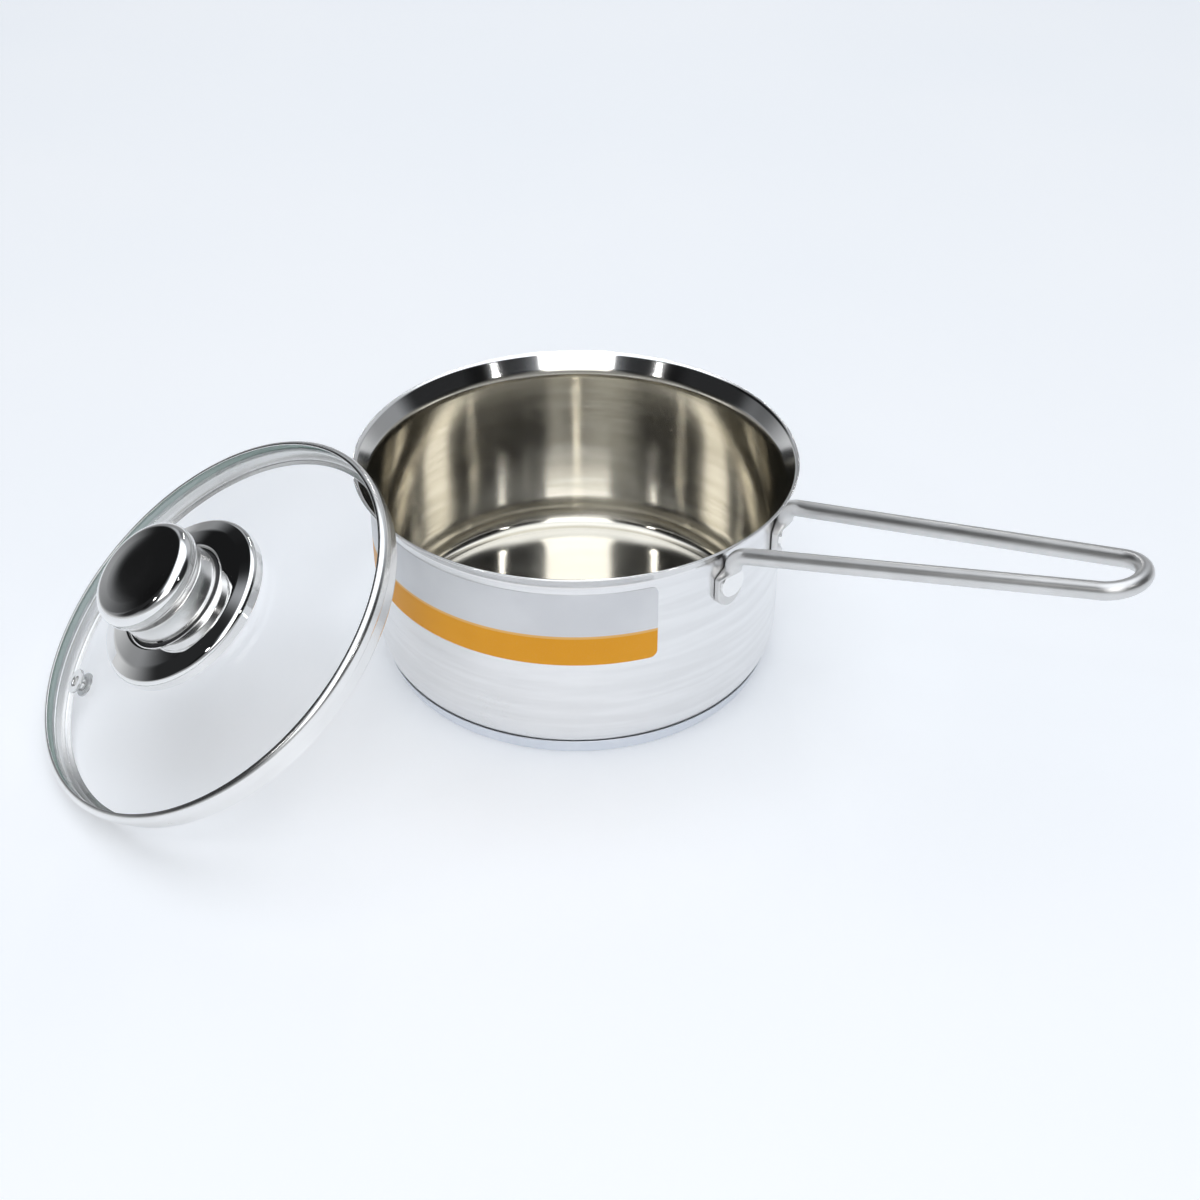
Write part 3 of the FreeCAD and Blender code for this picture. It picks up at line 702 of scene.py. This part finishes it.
for node, obj in frame["nodes"].items():
    for place in obj.material_slots:
        place.material = LOOKS[slot_of[node]]


def stands_for(obj, body, *nodes):
    """Give a new piece its look, body and the solid nodes it shows."""
    obj.data.materials.append(LOOKS[slot_of[nodes[0]]])
    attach(obj, body)
    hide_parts(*nodes)
    return obj


# ---- vessel ----
def meet(p, p_angle, q, q_angle):
    """Point where two lines cross; each is a point and a heading in degrees."""
    a = math.radians(p_angle)
    b = math.radians(q_angle)
    along = ((q[0] - p[0]) * math.sin(b) - (q[1] - p[1]) * math.cos(b)) / math.sin(b - a)
    return (p[0] + along * math.cos(a), p[1] + along * math.sin(a))


def vessel_middle():
    """Middle of the vessel's sheet: flat floor, two-radius corner, straight wall, flare and lip."""
    floor = UNDERSIDE + SHEET / 2
    wall = WALL - SHEET / 2
    turn_up = math.radians(CORNER_TURN)
    slant = CORNER_LOWER_BEND * math.tan(turn_up / 2)
    slant += CORNER_UPPER_BEND * math.tan(math.radians(90 - CORNER_TURN) / 2) + CORNER_SLACK
    corner = (wall - slant * math.cos(turn_up), floor)
    shoulder = (wall, floor + slant * math.sin(turn_up))
    flare = (wall, HEIGHT - FLARE_HEIGHT)
    tip = (RIM - SHEET / 2, HEIGHT - SHEET / 2)
    lip = meet(flare, 90 - FLARE_ANGLE, tip, LIP_ANGLE)
    return [(0, floor), corner, shoulder, flare, lip, tip]


def vessel():
    """Pressed vessel: the middle path given the sheet's thickness and turned about the axis."""
    bends = [CORNER_LOWER_BEND, CORNER_UPPER_BEND, FLARE_BEND, LIP_BEND]
    return spun("pan_vessel", sheet_outline(vessel_middle(), bends, SHEET), on_axis=True)


def base_cap():
    """Thin cap over the heat-spreading disc: flat foot, one bend and a tapering side, turned."""
    half = CAP_SHEET / 2
    slope = math.sin(math.radians(CORNER_TURN))
    side = meet(vessel_middle()[1], CORNER_TURN, (0, CAP_TOP), 0)[0] + SHEET / 2 / slope
    top = (side + CAP_GAP + half, CAP_TOP - half)
    foot = meet(top, 90 - CAP_TAPER, (0, half), 0)
    outline = sheet_outline([(0, half), foot, top], [CAP_BEND], CAP_SHEET)
    return spun("base_cap_spun", outline, on_axis=True)


stands_for(vessel(), "pan", "pan_body")
stands_for(base_cap(), "pan", "base_cap")


# ---- handle ----
def loop_line(out):
    """Centre line of half the loop above the blade: bend at the rim, straight run, end bend.

    A bend is its centre plus its radius times one direction by the sine and another by the cosine of
    the turned angle. The straight run is tangent to both bends. Returned with the first bend's foot.
    """
    up = np.array([0, 0, 1.0])
    across = np.array([0, 1.0, 0])
    corner = out * STEM + up * (HEIGHT - STEM_BELOW_RIM)
    rise = math.radians(RISE)
    forward = np.array([math.cos(rise), 0, math.sin(rise)])
    tip = np.array([REACH - ROD, 0, 0.0])
    tip[2] = corner[2] + (tip[0] - corner[0]) * math.tan(rise)
    centre = tip - forward * LOOP_BEND
    reach = (centre - corner) @ forward
    converge = math.atan2(-corner[1], reach) - math.asin(LOOP_BEND / math.hypot(reach, corner[1]))
    start = centre + (forward * math.sin(converge) - across * math.cos(converge)) * LOOP_BEND
    ahead = (start - corner) / np.linalg.norm(start - corner)
    bend_turn = math.acos(up @ ahead)
    foot = corner - up * STEM_BEND * math.tan(bend_turn / 2)
    toward = (ahead - up * (up @ ahead)) / math.sin(bend_turn)
    angle = np.linspace(0, bend_turn, 20)[1:, None]
    bend = foot + STEM_BEND * (toward * (1 - np.cos(angle)) + up * np.sin(angle))
    straight = np.linspace(bend[-1], start, 26)[1:]
    angle = np.linspace(converge, math.pi / 2, 26)[1:, None]
    end = centre + LOOP_BEND * (forward * np.sin(angle) - across * np.cos(angle))
    return foot, np.concatenate([bend, straight, end])


def blade_sections(top):
    """Heights, radii and section sizes from the blade's foot up to the first bend.

    Near the foot the half width falls by a power of the depth below the rounded part, and above the
    rivet everything goes over to the round rod by the smooth step 3 t squared minus 2 t cubed.
    """
    low = RIVET_Z - BLADE_TAIL
    shoulder = RIVET_Z + BLADE_THICKNESS
    quarter = np.linspace(0, math.pi / 2, 14)
    z = np.concatenate([low + BLADE_ROUND * (1 - np.cos(quarter)),
                        np.linspace(low + BLADE_ROUND + BLADE_EASE, shoulder, 14)[:-1],
                        np.linspace(shoulder, top, 24)])
    ease_from = shoulder - BLADE_EASE
    t = np.clip((z - ease_from) / (top - ease_from), 0, 1)
    t = t * t * (3 - 2 * t)
    drop = np.clip(1 - (z - low) / BLADE_ROUND, 0, 1)
    half_width = BLADE_HALF_WIDTH - BLADE_NARROWS * drop ** BLADE_FALL
    half_width[0] = FOOT_HALF_WIDTH
    half_width += (ROD - half_width) * t
    half_depth = BLADE_HALF_DEPTH + (ROD - BLADE_HALF_DEPTH) * t
    half_depth[0] = FOOT_HALF_DEPTH
    corner = BLADE_EDGE + (ROD - BLADE_EDGE) * t
    radius = WALL + BLADE_CLEAR + BLADE_HALF_DEPTH + (STEM - WALL - BLADE_THICKNESS / 2) * t
    return z, radius, half_width, half_depth, corner


def carried_frame(line, side, upright):
    """Two directions across a line at each of its points, carried along it without twisting.

    Each side direction is the one before it less its part along the line; the first few rows of the
    line are upright, and it ends square to the handle's plane.
    """
    along = np.gradient(line, axis=0)
    along[:upright] = [0, 0, 1]
    along /= np.linalg.norm(along, axis=1)[:, None]
    along[-1] = [0, 1, 0]
    sides = [side]
    for tangent in along[1:]:
        moved = sides[-1] - tangent * (sides[-1] @ tangent)
        sides.append(moved / np.linalg.norm(moved))
    sides = np.array(sides)
    return sides, np.cross(sides, along)


def section_rings(half_width, half_depth, corner):
    """Offsets of a rounded rectangle for each row: four quarter circles about its corner centres."""
    steps = 9
    theta = np.radians(np.concatenate([np.linspace(k * 90, k * 90 + 90, steps) for k in range(4)]))
    right = np.repeat([1, -1, -1, 1], steps)
    front = np.repeat([1, 1, -1, -1], steps)
    across = right * (half_width - corner)[:, None] + corner[:, None] * np.cos(theta)
    deep = front * (half_depth - corner)[:, None] + corner[:, None] * np.sin(theta)
    return across, deep


def handle():
    """One rod from blade to blade: sections carried along the line of the loop.

    A point is the line's point plus its offsets along the two carried directions. Half the loop is
    made and mirrored in the handle's plane, and each blade's foot is closed by a fan.
    """
    azimuth = math.radians(SPREAD)
    out = np.array([math.cos(azimuth), -math.sin(azimuth), 0])
    side = np.array([math.sin(azimuth), math.cos(azimuth), 0])
    foot, loop = loop_line(out)
    z, radius, half_width, half_depth, corner = blade_sections(foot[2])
    blade = out * radius[:, None]
    blade[:, 2] = z
    line = np.concatenate([blade, loop])
    rod = np.full(len(loop), ROD)
    half_width = np.concatenate([half_width, rod])
    half_depth = np.concatenate([half_depth, rod])
    corner = np.concatenate([corner, rod])
    corner = np.minimum(corner, np.minimum(half_width, half_depth) - 1e-4)
    sides, depth = carried_frame(line, side, len(blade))
    across, deep = section_rings(half_width, half_depth, corner)
    rings = line[:, None] + across[..., None] * sides[:, None] + deep[..., None] * depth[:, None]
    flip = np.array([1, -1, 1])
    rows = 2 * len(line) - 1
    columns = across.shape[1]
    feet = np.array([rings[0].mean(0), rings[0].mean(0) * flip])
    verts = np.concatenate([rings.reshape(-1, 3), (rings[:-1][::-1] * flip).reshape(-1, 3), feet])
    k = np.arange(columns)
    next_k = (k + 1) % columns
    last = (rows - 1) * columns
    near_fan = np.stack([np.full(columns, rows * columns), next_k, k], -1)
    far_fan = np.stack([np.full(columns, rows * columns + 1), last + k, last + next_k], -1)
    faces = grid_faces(rows, columns, False, True) + near_fan.tolist() + far_fan.tolist()
    return build("handle_loop_rod", verts, faces, sharp=40.0)


stands_for(outward(handle()), "pan", "handle_rod")


def rivet(name, azimuth):
    """Flat-headed rivet turned about its own axis: slightly crowned head, shank, low inner head.

    The inner head starts where a circle of the head's radius meets the round inner wall.
    """
    seat = BLADE_FACE + RIVET_FREE
    top = BLADE_FACE + RIVET_HEAD_HEIGHT
    inner = math.sqrt(INNER_WALL ** 2 - RIVET_HEAD ** 2)
    crown = inner - RIVET_INNER_HEIGHT
    path = [(0, top), (RIVET_FLAT, top - RIVET_FLAT_DROP), (RIVET_HEAD, top - RIVET_EDGE_DROP),
            (RIVET_HEAD, seat), (RIVET_SHANK, seat), (RIVET_SHANK, inner - RIVET_FREE),
            (RIVET_HEAD, inner - 0.1), (RIVET_SHANK + 0.1, crown), (0, crown)]
    outline = rounded(path, [8.0, 0.3, 0.05, 0.05, 0.05, 0.12, RIVET_INNER_HEIGHT], 6.0)
    return spun(name, outline[::-1], radial(azimuth), 96, True)


stands_for(rivet("rivet_near", -SPREAD), "pan", "handle_rivet_near")
stands_for(rivet("rivet_far", SPREAD), "pan", "handle_rivet_far")


# ---- lid ----
def lid_ring():
    """Rolled ring round the glass, turned: lip over the glass, bead, skirt and turned-in foot."""
    half = RING_SHEET / 2
    wall = LID - half
    path = [(LID - RING_LIP, -half), (wall, -half), (wall, half - RING_BEAD),
            (SKIRT, half - RING_BEAD), (SKIRT, half - RING_HEIGHT),
            (SKIRT - FOOT_FLANGE, half - RING_HEIGHT)]
    outline = sheet_outline(path, [2.1, 0.9, 0.5, 1.0], RING_SHEET, round_start=True)
    return spun("lid_rolled_ring", outline, LID_PLACE, 256)


def glass_height(radius, sphere):
    """Height of a face of the domed glass in the lid's own frame, which starts at the ring's top.

    It is the height of the sphere's centre plus the root of sphere squared less radius squared.
    """
    return CROWN - GLASS_SPHERE + math.sqrt(sphere ** 2 - radius * radius)


def ring_seal():
    """Channel-shaped seal round the edge of the glass, turned, and just clear of its two faces."""
    grip = GLASS_EDGE - SEAL_GRIP
    edge = GLASS_EDGE + SEAL_FREE
    wall = LID - RING_SHEET - SEAL_FREE
    top = -RING_SHEET - SEAL_FREE
    foot = RING_SHEET - RING_BEAD + SEAL_FREE
    under = GLASS_SPHERE - GLASS
    path = [(grip, foot), (wall, foot), (wall, top), (grip, top),
            (grip, glass_height(grip, GLASS_SPHERE) + SEAL_FACE_FREE),
            (edge, glass_height(edge, GLASS_SPHERE) + SEAL_FACE_FREE),
            (edge, glass_height(edge, under) - SEAL_FACE_FREE),
            (grip, glass_height(grip, under) - SEAL_FACE_FREE)]
    outline = rounded(path, [0.1, 1.25, 0.04, 0.04, 0.04, 0.04], 8.0)
    return spun("lid_channel_seal", outline, LID_PLACE, 384)


def knob_dish():
    """Pressed dish, turned: flat recess, ridge round it, domed flank and turned-down edge."""
    path = [(SCREW_HOLE, RECESS_FLOOR), (RECESS, RECESS_FLOOR), (RECESS, DISH_RIDGE), DISH_FLANK,
            (DISH_EDGE, DISH_EDGE_TOP), (DISH_EDGE, DISH_FOOT)]
    outline = sheet_outline(path, [0.9, 1.2, 12.0, 1.8], KNOB_SHEET, round_start=True)
    return spun("knob_pressed_dish", outline, LID_PLACE, 192)


def knob_neck():
    """Neck, turned: straight at the foot, narrowing a little to the waist, flared under the cap."""
    path = [(NECK, NECK_FOOT), (NECK, NECK_WAIST_FROM), (NECK - NECK_WAIST, NECK_WAIST_TO),
            (NECK_FLARE, NECK_TOP)]
    outline = sheet_outline(path, [19.8, 3.08], KNOB_SHEET, round_end=False)
    return spun("knob_waisted_neck", outline, LID_PLACE, 192)


def knob_cap():
    """Cap, turned: slightly crowned top, rolled shoulder, upright wall and a lip turned in below."""
    path = [(0, CAP_CROWN), (CAP_WALL / 2, CAP_CROWN), (CAP_WALL, CAP_SHOULDER),
            (CAP_WALL, CAP_LOW + KNOB_SHEET), (CAP_WALL - CAP_LIP, CAP_LOW)]
    outline = sheet_outline(path, [63.9, 3.8, 0.6], KNOB_SHEET)
    return spun("knob_rolled_cap", outline, LID_PLACE, 192, on_axis=True)


stands_for(outward(lid_ring()), "lid", "lid_ring")
stands_for(outward(ring_seal()), "lid", "ring_seal")
stands_for(outward(knob_dish()), "lid", "knob_dish")
stands_for(outward(knob_neck()), "lid", "knob_neck")
stands_for(outward(knob_cap()), "lid", "knob_cap")


# ---- floor, light and camera ----
OBJECT_MIDDLE = 0.06


def floor():
    """Large plain sheet of pale paper, with a little light of its own like a lit backdrop."""
    mesh = bpy.data.meshes.new("studio_floor")
    mesh.from_pydata([(-4, -4, 0), (4, -4, 0), (4, 4, 0), (-4, 4, 0)], [], [(0, 1, 2, 3)])
    obj = bpy.data.objects.new("studio_floor", mesh)
    bpy.context.collection.objects.link(obj)
    paint = Paint("studio_paper", Roughness=0.6, Specular_IOR_Level=0.3, Emission_Strength=0.27)
    p = paint.position()
    tone = paint.noise(p, 3.0, 2.0).ramp(0.2, 0.8)
    paint.feed("Base Color", paint.mix(tone, (0.83, 0.845, 0.87), (0.85, 0.86, 0.88)))
    paint.feed("Emission Color", paint.mix(tone, (0.90, 0.95, 1.0), (0.94, 0.97, 1.0)))
    mesh.materials.append(paint.material)


def toward(azimuth, elevation):
    """Unit vector at an azimuth from +X and an elevation, in degrees."""
    a, e = math.radians(azimuth), math.radians(elevation)
    return (math.cos(a) * math.cos(e), math.sin(a) * math.cos(e), math.sin(e))


def softbox(name, azimuth, elevation, size, power, distance=1.5):
    """Rectangular light at a distance from the middle of the object, facing it."""
    light = bpy.data.lights.new(name, "AREA")
    light.shape = "RECTANGLE"
    light.size, light.size_y = size
    light.energy = power
    obj = bpy.data.objects.new(name, light)
    place = Vector(toward(azimuth, elevation)) * distance
    obj.location = place + Vector((0, 0, OBJECT_MIDDLE))
    obj.rotation_euler = (-place).to_track_quat("-Z", "Y").to_euler()
    bpy.context.collection.objects.link(obj)


# Each opening in the tent: azimuth, elevation, inner and outer half angle, and how much light it
# takes away; a negative depth is a brighter panel.
OPENINGS = (
    (178, 34, 15, 25, 0.96),
    (223, 34, 18, 32, 0.92),
    (23, 34, 18, 32, 0.92),
    (123, 36, 6, 14, 0.5),
    (88, 34, 6, 26, -1.0),
    (150, 34, 4, 14, -0.8),
    (-100, 34, 10, 22, 0.93),
    (-12, 34, 10, 22, 0.93),
)


def surround():
    """Light tent: bright fabric with dark openings where the room beyond shows in the steel.

    The light is one ramp by height plus another near the top, times 1 less the depth of each
    opening, which fades out between its inner and outer half angle.
    """
    world = bpy.data.worlds.new("studio_surround")
    bpy.context.scene.world = world
    world.use_nodes = True
    nodes = Nodes(world.node_tree)
    background = world.node_tree.nodes["Background"]
    way = nodes.node("ShaderNodeTexCoord", {}, output=0)
    up = nodes.split(way)[2]
    bright = up.ramp(0.0, 0.2, 0.70, 0.30) + up.ramp(0.72, 0.86, 0.0, 1.1)
    for azimuth, elevation, inner, outer, depth in OPENINGS:
        dot = nodes.node("ShaderNodeVectorMath", {"operation": "DOT_PRODUCT"},
                         [way, toward(azimuth, elevation)], output=1)
        mask = dot.ramp(math.cos(math.radians(outer)), math.cos(math.radians(inner)))
        bright = bright * (1.0 - mask * depth)
    colour = nodes.mix(up.ramp(-0.1, 0.6), (0.96, 0.98, 1.0), (0.90, 0.94, 1.0))
    lit = nodes.node("ShaderNodeVectorMath", {"operation": "SCALE"}, [colour],
                     named={"Scale": bright})
    world.node_tree.links.new(lit.socket, background.inputs["Color"])


floor()
softbox("top_softbox", 110, 82, (2.2, 1.8), 3, distance=1.9)
softbox("front_softbox", -57, 42, (0.9, 0.9), 4.5)
softbox("left_strobe", -107, 38, (0.07, 0.07), 0.45)
softbox("right_strobe", -7, 38, (0.07, 0.07), 0.45)
softbox("back_strip", 123, 36, (0.012, 0.5), 0.7)
surround()

CAMERA_PLACE = Vector((0.3399, -0.5066, 0.4488))
CAMERA_AIM = Vector((0.0077, 0.0050, 0.0181))
camera_data = bpy.data.cameras.new("studio_camera")
camera_data.sensor_width = 36.0
camera_data.lens = 55.2
camera_data.clip_end = 50.0
camera = bpy.data.objects.new("studio_camera", camera_data)
camera.location = CAMERA_PLACE
camera.rotation_euler = (CAMERA_AIM - CAMERA_PLACE).to_track_quat("-Z", "Y").to_euler()
bpy.context.collection.objects.link(camera)
bpy.context.scene.camera = camera
bpy.context.scene.view_settings.view_transform = "Standard"
